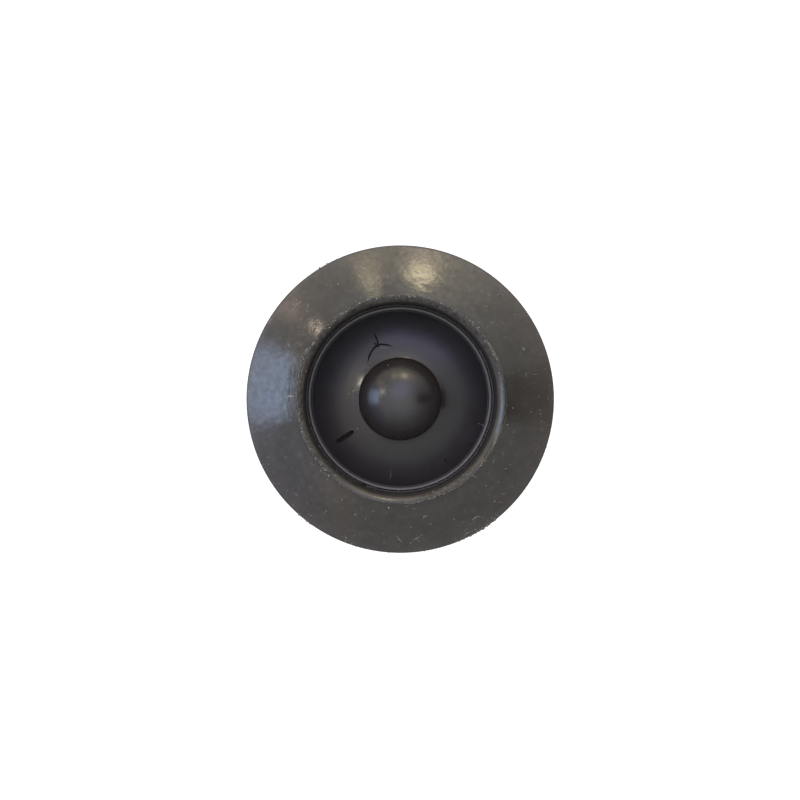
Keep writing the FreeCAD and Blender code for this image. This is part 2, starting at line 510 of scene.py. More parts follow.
def painted_reflection_mask(tree, around, share, upper):
    """The mask of the painted reflection on the core."""
    way = math.radians(PAINTED_REFLECTION_BEARING)
    facing = add(tree, "ShaderNodeVectorMath", {"operation": "DOT_PRODUCT"}, in0=around,
                 in1=(math.sin(way), math.cos(way), 0))
    sector = add(tree, "ShaderNodeMapRange", {"interpolation_type": "SMOOTHERSTEP"},
                 in0=facing.outputs["Value"], in1=PAINTED_REFLECTION_REACH, in2=1.0, in3=0.0, in4=PAINTED_REFLECTION_STRENGTH)
    near_px, full_px, fade_px, far_px = (px / SKIRT_RADIUS_PX for px in PAINTED_REFLECTION_BAND_PX)
    begins = add(tree, "ShaderNodeMapRange", {"interpolation_type": "SMOOTHSTEP"}, in0=share,
                 in1=near_px, in2=full_px)
    ends = add(tree, "ShaderNodeMapRange", {"interpolation_type": "SMOOTHSTEP"}, in0=share,
               in1=fade_px, in2=far_px, in3=1.0, in4=0.0)
    reflection_share = upper
    for factor in (sector, begins, ends):
        reflection_share = add(tree, "ShaderNodeMath", {"operation": "MULTIPLY"}, in0=reflection_share,
                   in1=factor.outputs[0]).outputs[0]
    return reflection_share


# %% [markdown]
# ### The cut lip
#
# A blade leaves rubber dull and pitted, and its tone wanders. The mask is a narrow band round the lip,
# which is nearly empty on the two clean stretches.

# %% Cut lip
LIP_BAND_PX = (96.5, 98.0, 102.5, 104.5)  # begins, is full, begins to fade, has faded


def cut_lip(tree, around, share):
    """The mask of the lip where the blade left it rough."""
    first, full, fade, last = (px / SKIRT_RADIUS_PX for px in LIP_BAND_PX)
    begins = add(tree, "ShaderNodeMapRange", in0=share, in1=first, in2=full)
    ends = add(tree, "ShaderNodeMapRange", in0=share, in1=last, in2=fade)
    lip = add(tree, "ShaderNodeMath", {"operation": "MULTIPLY"}, in0=begins.outputs[0], in1=ends.outputs[0])
    for middle, half, _ in SMOOTH_LIP:
        way = math.radians(middle)
        toward = add(tree, "ShaderNodeVectorMath", {"operation": "DOT_PRODUCT"}, in0=around,
                     in1=(math.sin(way), math.cos(way), 0))
        ragged = add(tree, "ShaderNodeMapRange", {"interpolation_type": "SMOOTHSTEP"},
                     in0=toward.outputs["Value"], in1=math.cos(math.radians(half + RAGGED_BLEND)),
                     in2=math.cos(math.radians(half - RAGGED_BLEND)), in3=1.0, in4=LEAST_RAGGED)
        lip = add(tree, "ShaderNodeMath", {"operation": "MULTIPLY"}, in0=lip.outputs[0],
                  in1=ragged.outputs[0])
    return lip.outputs[0]


# %% [markdown]
# ### Handling scratches
#
# A plug that is handled gets thin wandering lines, here and there on the skirt. The borders of a Voronoi
# pattern are such lines once noise has bent them, and a second noise leaves only a few of them. Real
# scratches are some hundredths of a millimetre wide. These are drawn a little wider, so that they show.

# %% Scratches
SCRATCH_MM = 1.5625  # from one line to the next, where there are any
SCRATCH_SHARE = 0.025  # how wide a line is, as a share of that
BEND_MM, BEND = 0.8333, 0.8 * MM  # the size of the noise's cells, and how far it bends a line
PATCH_MM, PATCH_LEVELS = 0.6667, (0.60, 0.68)  # the noise that leaves only a few lines
SKIRT_BEGINS_PX = (106, 110)


def handling_scratches(tree, where, on_skirt):
    """The mask of the thin lines on the skirt."""
    bend = add(tree, "ShaderNodeTexNoise", Vector=where, Scale=scale_of(BEND_MM), Detail=1.0)
    bent_where = add(tree, "ShaderNodeVectorMath", {"operation": "MULTIPLY_ADD"}, in0=bend.outputs["Color"],
                     in1=(BEND, BEND, BEND), in2=where)
    net = add(tree, "ShaderNodeTexVoronoi", {"feature": "DISTANCE_TO_EDGE"}, Vector=bent_where.outputs[0],
              Scale=scale_of(SCRATCH_MM))
    line = add(tree, "ShaderNodeMapRange", in0=net.outputs["Distance"], in1=0.0, in2=SCRATCH_SHARE,
               in3=1.0, in4=0.0)
    patchy = add(tree, "ShaderNodeTexNoise", Vector=where, Scale=scale_of(PATCH_MM), Detail=1.0)
    there = add(tree, "ShaderNodeMapRange", in0=patchy.outputs["Fac"], in1=PATCH_LEVELS[0],
                in2=PATCH_LEVELS[1])
    scratch = line.outputs[0]
    for factor in (there.outputs[0], on_skirt):
        scratch = add(tree, "ShaderNodeMath", {"operation": "MULTIPLY"}, in0=scratch, in1=factor).outputs[0]
    return scratch


# %% [markdown]
# ### Relief
#
# The skin of a moulding copies the mould, which was turned and then polished by hand. That gives slow
# waves, a fine grain and, on the skirt, a mottle that breaks up the mirrored lamps. The cut lip is pitted
# and the scratches are grooves. Each is a Bump node on top of the one before. The mould's real grain of
# a few hundredths of a millimetre is too fine for the picture, so it is drawn at 0.15 mm.

# %% Relief
WAVE_MM, GRAIN_MM, MOTTLE_MM = 1.1111, 0.153846, 0.9091  # sizes of the patterns' cells


def relief(tree, where, lip, on_skirt, pits, scratch):
    """The normal of the skin, from all its bumps."""
    wave = add(tree, "ShaderNodeTexNoise", Vector=where, Scale=scale_of(WAVE_MM), Detail=3.0)
    grain = add(tree, "ShaderNodeTexNoise", Vector=where, Scale=scale_of(GRAIN_MM), Detail=3.0)
    mottle = add(tree, "ShaderNodeTexNoise", Vector=where, Scale=scale_of(MOTTLE_MM), Detail=2.0)
    bumps = add(tree, "ShaderNodeBump", Strength=0.35, Distance=0.02 * MM, Height=wave.outputs["Fac"])
    # Strength, depth in millimetres, pattern.
    layers = [
        (0.35, 0.003, grain.outputs["Fac"]),
        (on_skirt, 0.014, mottle.outputs["Fac"]),
        (lip, 0.10, pits),
        (0.5, 0.004, scratch),
    ]
    for strength, depth, pattern in layers:
        bumps = add(tree, "ShaderNodeBump", Strength=strength, Distance=depth * MM, Height=pattern,
                    Normal=bumps.outputs[0])
    return bumps.outputs[0]


# %% [markdown]
# ### The whole rubber
#
# Now the parts come together. Colour: the ramp, the painted reflection over it, a slow blotchiness, the
# lip's pale and dark flecks, paler scratches, and near black painted shade deep in the crack and the nick.
# Roughness: the ramp, a little uneven, duller on the lip and in the scratches. Shine: faint clouds on the
# skirt, less on the cut lip, and next to none deep in the crack and the nick.

# %% Rubber
BLOTCH_MM, PIT_MM, CLOUD_MM = 2.38095, 0.526316, 0.6667  # sizes of the patterns' cells
BLOTCH_SHADE, BLOTCH_ROUGHNESS = 0.20, 0.03  # how far a blotch goes, either way
FLECK_SHADE, CUT_ROUGHNESS, CUT_SHINE = 0.55, 0.20, -0.14  # what the cut adds
SCRATCH_SHADE, SCRATCH_ROUGHNESS = 1.1, 0.12  # what a scratch adds
SKIN_SHINE, CLOUD_SHINE, HOLLOW_SHINE = 0.5, 0.11, 0.08  # 0.5 is the plain shine of its IOR
# painted shade: the colour deep in the crack and the nick
HOLLOW_SHADE_COLOUR = "272221"


def moulded_rubber():
    """The plug's own material."""
    material, tree = new_material("moulded_black_rubber")
    where = add(tree, "ShaderNodeTexCoord").outputs["Object"]
    flat = add(tree, "ShaderNodeVectorMath", {"operation": "MULTIPLY"}, in0=where, in1=(1, 1, 0))
    around = add(tree, "ShaderNodeVectorMath", {"operation": "NORMALIZE"}, in0=flat.outputs[0]).outputs[0]
    radius = add(tree, "ShaderNodeVectorMath", {"operation": "LENGTH"}, in0=flat.outputs[0])
    share = add(tree, "ShaderNodeMapRange", in0=radius.outputs["Value"], in1=0.0,
                in2=skirt_radius).outputs[0]
    upper = add(tree, "ShaderNodeAttribute", {"attribute_name": "upper"}).outputs["Fac"]
    hollow_shade = add(tree, "ShaderNodeAttribute", {"attribute_name": "hollow_shade"}).outputs["Fac"]
    ramp = finish_ramp(tree, share)
    begins, full = (px / SKIRT_RADIUS_PX for px in SKIRT_BEGINS_PX)
    on_skirt = add(tree, "ShaderNodeMapRange", in0=share, in1=begins, in2=full).outputs[0]
    lip = cut_lip(tree, around, share)
    scratch = handling_scratches(tree, where, on_skirt)
    blotch = add(tree, "ShaderNodeTexNoise", Vector=where, Scale=scale_of(BLOTCH_MM), Detail=7.0,
                 Roughness=0.68)
    pits = add(tree, "ShaderNodeTexNoise", Vector=where, Scale=scale_of(PIT_MM), Detail=3.0, Roughness=0.7)
    cloud = add(tree, "ShaderNodeTexNoise", Vector=where, Scale=scale_of(CLOUD_MM), Detail=4.0)

    skin = add(tree, "ShaderNodeMix", {"data_type": "RGBA"}, in0=upper, in6=linear(HIDDEN_COLOUR),
               in7=ramp.outputs["Color"])
    # painted reflection of the sky, mixed over the ramp's colour
    skin = add(tree, "ShaderNodeMix", {"data_type": "RGBA"}, in0=painted_reflection_mask(tree, around, share, upper),
               in6=skin.outputs[2], in7=linear(PAINTED_REFLECTION_COLOUR))
    shade = add(tree, "ShaderNodeMapRange", in0=blotch.outputs["Fac"], in1=0.25, in2=0.75,
                in3=1 - BLOTCH_SHADE, in4=1 + BLOTCH_SHADE)
    flecks = add(tree, "ShaderNodeMapRange", in0=pits.outputs["Fac"], in1=0.3, in2=0.7,
                 in3=-FLECK_SHADE, in4=FLECK_SHADE)
    shade = add(tree, "ShaderNodeMath", {"operation": "MULTIPLY_ADD"}, in0=lip, in1=flecks.outputs[0],
                in2=shade.outputs[0])
    shade = add(tree, "ShaderNodeMath", {"operation": "MULTIPLY_ADD"}, in0=scratch,
                in1=SCRATCH_SHADE, in2=shade.outputs[0])
    tone = add(tree, "ShaderNodeVectorMath", {"operation": "SCALE"}, in0=skin.outputs[2],
               Scale=shade.outputs[0])
    # painted shade: near black deep in the hollows
    colour = add(tree, "ShaderNodeMix", {"data_type": "RGBA"}, in0=hollow_shade, in6=tone.outputs[0],
                 in7=linear(HOLLOW_SHADE_COLOUR))

    dull = add(tree, "ShaderNodeMix", in0=upper, in2=HIDDEN_ROUGHNESS, in3=ramp.outputs["Alpha"])
    uneven = add(tree, "ShaderNodeMapRange", in0=blotch.outputs["Fac"], in1=0.25, in2=0.75,
                 in3=-BLOTCH_ROUGHNESS, in4=BLOTCH_ROUGHNESS)
    dull = add(tree, "ShaderNodeMath", {"operation": "ADD"}, in0=dull.outputs[0], in1=uneven.outputs[0])
    for mask, more in ((scratch, SCRATCH_ROUGHNESS), (lip, CUT_ROUGHNESS)):
        dull = add(tree, "ShaderNodeMath", {"operation": "MULTIPLY_ADD"}, in0=mask, in1=more,
                   in2=dull.outputs[0])

    clouds = add(tree, "ShaderNodeMapRange", in0=cloud.outputs["Fac"], in1=0.3, in2=0.7,
                 in3=-CLOUD_SHINE, in4=CLOUD_SHINE)
    shine = add(tree, "ShaderNodeMath", {"operation": "MULTIPLY_ADD"}, in0=clouds.outputs[0], in1=on_skirt,
                in2=SKIN_SHINE)
    shine = add(tree, "ShaderNodeMath", {"operation": "MULTIPLY_ADD"}, in0=lip, in1=CUT_SHINE,
                in2=shine.outputs[0])
    shine = add(tree, "ShaderNodeMapRange", in0=hollow_shade, in3=shine.outputs[0], in4=HOLLOW_SHINE)

    shader = add(tree, "ShaderNodeBsdfPrincipled", Base_Color=colour.outputs[2], Roughness=dull.outputs[0],
                 IOR=RUBBER_IOR, Specular_IOR_Level=shine.outputs[0],
                 Normal=relief(tree, where, lip, on_skirt, pits.outputs["Fac"], scratch))
    add(tree, "ShaderNodeOutputMaterial", Surface=shader.outputs["BSDF"])
    return material


rubber = moulded_rubber()
print("rubber:", len(rubber.node_tree.nodes), "nodes")

# %% [markdown]
# ### The small finishes
#
# All that clings to the plug is matt, so it shows pale on black whatever it mirrors. Torn rubber turns
# grey where it was stretched. A satin grey line along the groove's floor is a painted highlight. A real
# scratch is paler still, its pale colour partly a painted glint. Dust is a warm grey powder, and lint is
# bleached cotton. Each wanders between two tones, in cells of about the size of a grain or a fibre's bend.

# %% Small finishes


def plain_finish(name, low, high, cell_mm, roughness):
    """A matt finish whose colour wanders between two tones, for dust, lint, torn rubber and painted
    highlights.
    """
    material, tree = new_material(name)
    where = add(tree, "ShaderNodeTexCoord").outputs["Object"]
    spread = add(tree, "ShaderNodeTexNoise", Vector=where, Scale=scale_of(cell_mm), Detail=2.0)
    tone = add(tree, "ShaderNodeMix", {"data_type": "RGBA"}, in0=spread.outputs["Fac"], in6=linear(low),
               in7=linear(high))
    shader = add(tree, "ShaderNodeBsdfPrincipled", Base_Color=tone.outputs[2], Roughness=roughness,
                 IOR=RUBBER_IOR)
    add(tree, "ShaderNodeOutputMaterial", Surface=shader.outputs["BSDF"])
    return material


torn_rubber = plain_finish("torn_rubber_edge", "3a3833", "7a776e", 0.4, 0.5)
# painted highlight: the pale line along the groove's floor
rubbed_rubber = plain_finish("rubbed_rubber", "6a686a", "929092", 0.4, 0.45)
# a real scratch's pale colour, partly a painted glint
scratch_glint_paint = plain_finish("scratch_with_painted_glint", "b0aca0", "dcd8ca", 0.6667, 0.4)
dust = plain_finish("pale_dust", "55524c", "b4b0a6", 0.6667, 0.8)
lint = plain_finish("cotton_lint", "747270", "aeaba6", 1.1111, 0.7)
print("materials:", [m.name for m in bpy.data.materials])

# %% [markdown]
# ## The dressed body
#
# The turned body takes the place of the CAD solid. Its sharp corners, such as the groove's, are kept
# crisp by their angle, and all else is smooth. The finish table goes by the distance from the axis, but
# the stem lies at the same distances as the crater, so an attribute tells the upper side from the rest.

# %% Dress the body
SHARP_ANGLE = math.radians(38)
CRATER_RADIUS = 11.45 * MM
CRATER_FLOOR = -6 * MM


def piece(name, bm, material, smooth=True):
    """A finished object at the origin that rides on the plug's one body."""
    mesh = bpy.data.meshes.new(name)
    bm.to_mesh(mesh)
    bm.free()
    mesh.polygons.foreach_set("use_smooth", [smooth] * len(mesh.polygons))
    obj = bpy.data.objects.new(name, mesh)
    bpy.context.scene.collection.objects.link(obj)
    mesh.materials.append(material)
    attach(obj, "root")
    return obj


plug = piece("plug_body", body, rubber)
plug.data.set_sharp_from_angle(angle=SHARP_ANGLE)
shown = plug.data.attributes.new("upper", "FLOAT", "POINT")
for vertex, value in zip(plug.data.vertices, shown.data):
    reach = vertex.co.xy.length
    in_crater = reach < CRATER_RADIUS and vertex.co.z > CRATER_FLOOR
    value.value = float(in_crater or vertex.co.z > height_at(min(reach, INSIDE_EDGE)) - EDGE_HEIGHT)
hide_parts("drain_plug")
print("upper side:", sum(v.value > 0.5 for v in shown.data), "of", len(shown.data), "vertices")

# %% [markdown]
# ## The ragged parting line
#
# The mould's two halves met on the crest round the crater. Rubber crept between them in a thin fin, the
# flash, and it was trimmed off by hand, so a torn ridge is left with crumbs and slivers on it. The ridge
# is a small triangle turned round the axis. Its vertices are then moved by noise, so the fin stands here
# and is cut away there, and it wanders in and out. A second and lower ridge stands a little inside the
# first. Both are gone where the lip was trimmed clean.

# %% Flash
FLASH_STEPS = 1500
SAME_FIN_POINT = 1e-8  # metres: the fin is so thin that its corners lie close together
SLOW_TEAR, QUICK_TEAR, FINE_TEAR = 6, 90, 420  # how often the fin changes, on a circle of radius 1
KINK = (-76, -61, 2.2)  # bearings from and to, and how many pixels the crest steps out
FIN_ROOT = 0.05 * MM  # how deep the ridge's lower corners are sunk in the rubber
FIN_CUT = 0.06 * MM  # how much lower the ridge lies where it is cut away

# Name, distance from the crest, wander, width and height in millimetres, seed, share that still stands.
FLASH_RINGS = [
    ("parting_flash", 0.02, 0.14, 0.07, 0.14, 3.0, 0.25),
    ("inner_flash", -0.22, 0.14, 0.05, 0.07, 8.0, -0.05),
]


def flash_ring(radius, wander, width, tall, seed, keep):
    """A torn fin round the crater. The more it keeps, the more of it still stands."""
    bm = bmesh.new()
    bmesh.ops.create_circle(bm, segments=3, radius=width, matrix=Matrix.Translation((radius, 0, 0))
                            @ Matrix.Rotation(math.pi / 2, 4, "X") @ Matrix.Rotation(math.pi, 4, "Z"))
    bmesh.ops.spin(bm, geom=bm.verts[:] + bm.edges[:], cent=(0, 0, 0), axis=(0, 0, 1), angle=math.tau,
                   steps=FLASH_STEPS, use_merge=True)
    bmesh.ops.remove_doubles(bm, verts=bm.verts, dist=SAME_FIN_POINT)
    for v in bm.verts:
        around = Vector((v.co.x, v.co.y, 0)).normalized()
        slow = noise.noise(around * SLOW_TEAR + Vector((0, 0, seed)))
        quick = noise.noise(around * QUICK_TEAR + Vector((0, 0, seed)))
        ragged = noise.noise(around * FINE_TEAR + Vector((0, 0, seed)))
        # The fin is cut away where the sum is below 0, and stands in full from a third upwards.
        stands = max(0.0, min(1.0, (slow + quick * 0.9 + keep) * 3))
        shift = wander * (slow + 0.35 * quick + 0.2 * ragged)
        bearing = math.degrees(math.atan2(around.x, around.y))
        stands *= ragged_at(bearing)
        if KINK[0] < bearing < KINK[1]:
            shift += KINK[2] * PIXEL * (bearing - KINK[0]) / (KINK[1] - KINK[0])
        out = v.co.xy.length - radius
        rise = v.co.z
        reach = radius + shift + out * (0.6 + 0.8 * abs(quick + ragged))
        spot = around.xy * (reach - LIP_TRIM[0] * PIXEL) + LIP_TRIM[1] * PIXEL
        top = height_at(spot.length)
        lift = tall * stands * (0.35 + abs(quick) + 1.2 * abs(ragged)) if rise > 0 else -FIN_ROOT
        v.co = Vector((*spot, top + lift - (1 - stands) * FIN_CUT))
    bmesh.ops.recalc_face_normals(bm, faces=bm.faces)
    return bm


flash_faces = 0
for name, offset, wander, width, tall, seed, keep in FLASH_RINGS:
    ring = flash_ring(CREST_RADIUS + offset * MM, wander * MM, width * MM, tall * MM, seed, keep)
    flash_faces += len(piece(name, ring, torn_rubber, smooth=False).data.polygons)
print("flash:", flash_faces, "faces")

# %% [markdown]
# ## Crumbs, dust and lint
#
# A rubber plug lies in a locker and gathers specks. Each speck is a tiny ball of few faces, pulled out
# of shape and half sunk in the surface. Some specks stand where the photograph shows them. The rest are
# scattered by a seeded random number: over the skirt and mostly on its lower half, in the groove, low on
# one side of the crater's wall, and as crumbs along the ragged lip, where a slow noise heaps them up.
# The skirt's thin edge was trimmed too, and nibs of rubber are left on it.

# %% Helpers for specks


def chip(bm, point, size, squash=0.6):
    """Adds one speck of dust or rubber on the surface."""
    made = bmesh.ops.create_icosphere(bm, subdivisions=1, radius=size / 2)
    turn = Matrix.Rotation(random.uniform(0, math.tau), 4, "Z")
    shape = Matrix.Diagonal((random.uniform(0.7, 1.5), random.uniform(0.6, 1.1), squash, 1))
    for v in made["verts"]:
        v.co = shape @ (v.co * random.uniform(0.7, 1.3))
        v.co = turn @ v.co + point
    return made


def ring_point(radius_px, bearing):
    """A point on the upper surface, by its distance in pixels and its bearing clockwise from the top."""
    r, b = radius_px * PIXEL, math.radians(bearing)
    return Vector((r * math.sin(b), r * math.cos(b), height_at(r)))


def crest_point(out_px, bearing):
    """A point this many pixels outside the trimmed crest."""
    point = ring_point(CREST_RADIUS / PIXEL + out_px, bearing)
    point.xy += LIP_TRIM[1] * PIXEL - point.xy.normalized() * LIP_TRIM[0] * PIXEL
    return point


# %% Specks
LOOSE_SPECKS = 120
DUSTY_SIDE = (180, 55)  # bearing of the dustier side, and its spread
SKIRT_BAND_PX = (107, 153)
GROOVE_BITS = 160
GROOVE_BAND_PX = (92.2, 97.0)
WALL_BITS = 70
WALL_BAND_PX = (93.5, 96.6)
WALL_SIDE = (232, 14)  # bearing and spread
CRUMBS = 650

# Specks that stand out in the photograph: pixel, and width in pixels.
NOTED_SPECKS = [
    (388.2, 365.3, 1.2), (357.7, 428.7, 1.6), (487.6, 430.5, 1.6), (483.6, 425.8, 1.2), (388.7, 507.7, 2.2),
    (406.5, 506.5, 1.5), (355.4, 514.6, 1.4), (373.2, 511.7, 1.0), (342.0, 499.6, 1.5), (326.7, 511.0, 1.2),
    (311.0, 515.7, 1.4), (410.5, 543.0, 1.4), (454.3, 519.0, 1.2), (424.0, 516.0, 1.0), (548.0, 399.0, 1.2),
    (512.7, 408.0, 1.4), (507.3, 424.8, 1.4), (338.0, 284.0, 1.2), (293.4, 304.3, 1.8), (368.0, 299.6, 2.2),
    (524.0, 349.7, 1.4), (436.6, 483.9, 2.0), (398.0, 490.6, 1.8), (326.0, 451.5, 1.6), (336.4, 471.3, 1.4),
    (328.6, 475.8, 1.8), (478.6, 327.6, 1.5), (433.0, 492.0, 2.0),
]

# Nibs of rubber that the trimming left on the skirt's edge: bearings from and to, how many, size in pixels.
EDGE_NIBS = [
    (214, 222, 16, 1.9), (141, 158, 60, 2.0), (158, 172, 14, 1.3), (328, 336, 18, 2.0),
    (100, 112, 8, 1.0), (182, 200, 12, 1.2), (40, 52, 6, 0.9), (258, 270, 6, 0.9),
]

nibs = bmesh.new()
for first, last, count, size in EDGE_NIBS:
    for _ in range(count):
        reach_px = SKIRT_RADIUS_PX + random.gauss(-0.5, 0.5)
        rim = ring_point(min(reach_px, SKIRT_RADIUS_PX - 0.02), random.uniform(first, last))
        chip(nibs, rim, random.uniform(0.5, 1.2) * size * PIXEL, squash=0.8)
edge_nibs = piece("edge_nibs", nibs, torn_rubber, smooth=False)

specks = bmesh.new()
for px, py, width in NOTED_SPECKS:
    chip(specks, place(px, py), width * PIXEL)
for _ in range(LOOSE_SPECKS):
    radius_px = SKIRT_BAND_PX[0] + (SKIRT_BAND_PX[1] - SKIRT_BAND_PX[0]) * math.sqrt(random.random())
    bearing = random.choice((random.uniform(0, 360), random.gauss(*DUSTY_SIDE)))
    chip(specks, ring_point(radius_px, bearing), random.choice((0.35, 0.45, 0.5, 0.6, 1.0)) * PIXEL)
for _ in range(GROOVE_BITS):
    chip(specks, ring_point(random.uniform(*GROOVE_BAND_PX), random.uniform(0, 360)),
         random.choice((0.4, 0.6, 0.9)) * PIXEL)
for _ in range(WALL_BITS):
    chip(specks, ring_point(random.uniform(*WALL_BAND_PX), random.gauss(*WALL_SIDE)),
         random.choice((0.5, 0.7, 1.0)) * PIXEL)
dust_specks = piece("dust_specks", specks, dust, smooth=False)

crumbs = bmesh.new()
for _ in range(CRUMBS):
    bearing = random.uniform(0, 360)
    b = math.radians(bearing)
    thick = noise.noise(Vector((math.sin(b), math.cos(b), 5.5)) * 7)
    # Few lie where the noise is low, and hardly any where the lip was trimmed clean.
    if thick < random.uniform(-0.45, 0.35) or random.random() > ragged_at(bearing):
        continue
    gap = random.gauss(0, 0.55) + 1.3 * noise.noise(Vector((math.sin(b), math.cos(b), 3.5)) * 9)
    # Four in five lie close to the crest, and the others further out or in.
    spread = 1.0 if random.random() < 0.8 else 3.5
    chip(crumbs, crest_point(gap * spread - 0.3, bearing), random.choice((0.35, 0.45, 0.6, 0.9, 1.5)) * PIXEL)
flash_crumbs = piece("flash_crumbs", crumbs, dust, smooth=False)
for made in (edge_nibs, dust_specks, flash_crumbs):
    print(made.name, len(made.data.polygons), "faces")

# %% [markdown]
# ## Threads, scratches and slivers
#
# Lint is a thin bent thread. A thread is a small ring of five corners, set across the path at each of
# its points and bridged to the ring before, with its two ends capped. The same form serves for the deep
# scratches, whose pale colour is partly a painted glint, for the painted highlight along the groove's
# floor, and for the slivers and strips of flash that still hang on the lip. It is a real shape that stands
# a little proud, so it catches light from the side as the real one does.

# %% Helpers for threads
THREAD_SIDES = 5
THREAD_TIP = 0.35  # how thick its ends are, as a share of its middle
THREAD_LIFT = 0.03 * MM  # how far its middle lies above the surface
THREAD_WANDER = 22  # degrees


def thread(bm, points, width):
    """Adds a thin thread along points on the surface, as a swept ring with closed ends."""
    ring = None
    for i, point in enumerate(points):
        ahead = (points[min(i + 1, len(points) - 1)] - points[max(i - 1, 0)]).normalized()
        frame_at = Matrix.Translation(point) @ ahead.to_track_quat("Z", "Y").to_matrix().to_4x4()
        at_end = i in (0, len(points) - 1)
        thin = width * (THREAD_TIP if at_end else 1.0)
        made = bmesh.ops.create_circle(bm, segments=THREAD_SIDES, radius=thin / 2, cap_ends=at_end,
                                       matrix=frame_at)["verts"]
        if ring:
            pair = {e for v in ring + made for e in v.link_edges if e.other_vert(v) in ring + made}
            bmesh.ops.bridge_loops(bm, edges=[e for e in pair if len({v in ring for v in e.verts}) == 1])
        ring = made


def bent(start, bearing, length, curl, steps=6):
    """Points of a bent thread that lies on the upper surface."""
    points = []
    here, heading = start.xy.copy(), math.radians(bearing)
    for _ in range(steps + 1):
        reach = min(here.length, 0.998 * skirt_radius)
        points.append(Vector((here.x, here.y, height_at(reach) + THREAD_LIFT)))
        here += Vector((math.sin(heading), math.cos(heading))) * length / steps
        heading += math.radians(curl + random.uniform(-THREAD_WANDER, THREAD_WANDER)) / steps * 2
    return points


# %% Where the threads and scratches lie
LOOSE_THREADS = 24
CREST_SLIVERS = 90
SCRATCH_WIDTH = 0.55  # pixels

# Threads that stand out: width in pixels, then pixels from end to end.
NOTED_THREADS = [
    (0.32, [(391.0, 470.5), (390.8, 474.5), (390.0, 478.0), (388.3, 481.0)]),
    (0.60, [(478.0, 423.2), (481.5, 424.8), (485.0, 425.8)]),
    (0.45, [(308.3, 305.0), (307.0, 309.0), (306.8, 313.0)]),
    (0.50, [(471.5, 520.7), (474.5, 518.2), (477.3, 516.0), (480.5, 517.2), (484.5, 518.0)]),
    (0.50, [(422.3, 519.0), (424.5, 516.5), (427.5, 515.6), (428.5, 517.0)]),
    (0.45, [(397.0, 536.5), (399.0, 539.5), (401.8, 541.5), (403.5, 543.3)]),
    (0.45, [(412.5, 541.5), (416.0, 538.5), (419.5, 537.0), (422.8, 534.5)]),
    (0.40, [(416.0, 538.5), (418.0, 541.0), (420.5, 541.8)]),
    (0.45, [(472.3, 473.0), (473.8, 476.0), (475.8, 478.0), (476.8, 475.5)]),
    (0.40, [(483.5, 458.0), (486.0, 461.0), (488.2, 460.5)]),
    (0.40, [(307.5, 513.5), (310.5, 516.5), (312.8, 515.0)]),
    (0.40, [(521.5, 346.5), (523.5, 349.5), (526.0, 350.0)]),
    (0.35, [(464.5, 320.5), (468.5, 319.5), (473.5, 317.0)]),
    (0.35, [(466.0, 316.5), (468.5, 318.8), (470.5, 321.0)]),
    (0.60, [(316.5, 340.3), (313.5, 343.5), (311.2, 347.8), (306.5, 349.5), (303.0, 354.0), (301.3, 358.5)]),
    (0.45, [(462.5, 537.0), (467.0, 533.0), (472.0, 531.5), (477.0, 528.5)]),
    (0.45, [(470.0, 535.5), (475.5, 532.0), (480.5, 529.0)]),
]

# Scratches, real ones whose pale colour is partly a painted glint: pixels from end to end.
SCRATCHES = [
    [(427.3, 267.5), (430.7, 264.2), (433.2, 260.8)], [(425.7, 272.5), (432.3, 273.3), (439.0, 276.7)],
    [(429.0, 265.0), (431.5, 267.5), (434.5, 267.2)], [(411.3, 262.2), (416.0, 260.3), (422.3, 258.3)],
    [(409.5, 266.0), (415.0, 263.6), (420.0, 262.4)], [(413.0, 269.0), (417.5, 273.0), (418.6, 278.0)],
    [(369.2, 279.2), (373.6, 277.2), (377.5, 275.8)], [(370.8, 285.0), (374.0, 283.9), (377.5, 282.5)],
    [(371.7, 290.0), (374.4, 288.9), (376.7, 288.3)], [(355.0, 266.7), (361.0, 267.3), (366.7, 269.2)],
    [(366.0, 262.5), (371.0, 260.6), (376.5, 259.9)], [(358.0, 274.0), (362.0, 279.0), (364.0, 285.0)],
    [(293.0, 309.0), (296.5, 304.5), (301.0, 301.5)], [(306.0, 311.5), (307.4, 307.6), (308.6, 304.6)],
    [(285.8, 397.5), (290.0, 395.8), (294.0, 396.8), (297.3, 394.0)],
    [(292.6, 396.4), (295.0, 393.2), (296.8, 392.2)],
    [(347.2, 394.4), (352.0, 391.5), (357.4, 389.8)], [(387.0, 347.6), (384.0, 348.4), (381.0, 347.2)],
]

# A painted highlight along the groove's floor, a pale line where the floor mirrors the light.
GROOVE_HIGHLIGHT = (58, 205, 94.4, 1.5)  # bearings from and to, distance and width in pixels

# Strips of flash that still hang on the crest: bearings from and to, distance and width in pixels.
STRIPS = [
    (57, 82, 105.8, 0.45), (61, 76, 104.2, 0.4), (96, 120, 104.8, 0.4), (18, 34, 105.6, 0.4),
    (-9, 8, 104.4, 0.5), (-42, -27, 105.6, 0.5), (-80, -66, 103.6, 0.45), (-112, -88, 103.8, 0.4),
    (128, 150, 104.6, 0.4), (-172, -150, 104.8, 0.35), (40, 52, 105.0, 0.4), (-60, -50, 104.8, 0.5),
    (-100, -60, 105.4, 0.35), (84, 112, 106.2, 0.3),
]
CREST_PX = 104.4  # the crest's distance before it was trimmed
print("threads:", len(NOTED_THREADS), "scratches:", len(SCRATCHES), "strips:", len(STRIPS))

# %% Threads, scratches and slivers
threads = bmesh.new()
for width, path in NOTED_THREADS:
    thread(threads, [place(*pixel) for pixel in path], width * PIXEL)
for _ in range(LOOSE_THREADS):
    start = ring_point(random.uniform(108, 148), random.uniform(0, 360))
    bearing, length, curl = random.uniform(0, 360), random.uniform(2, 6) * PIXEL, random.uniform(-50, 50)
    thread(threads, bent(start, bearing, length, curl, 4), random.uniform(0.22, 0.4) * PIXEL)
lint_threads = piece("lint_threads", threads, lint)

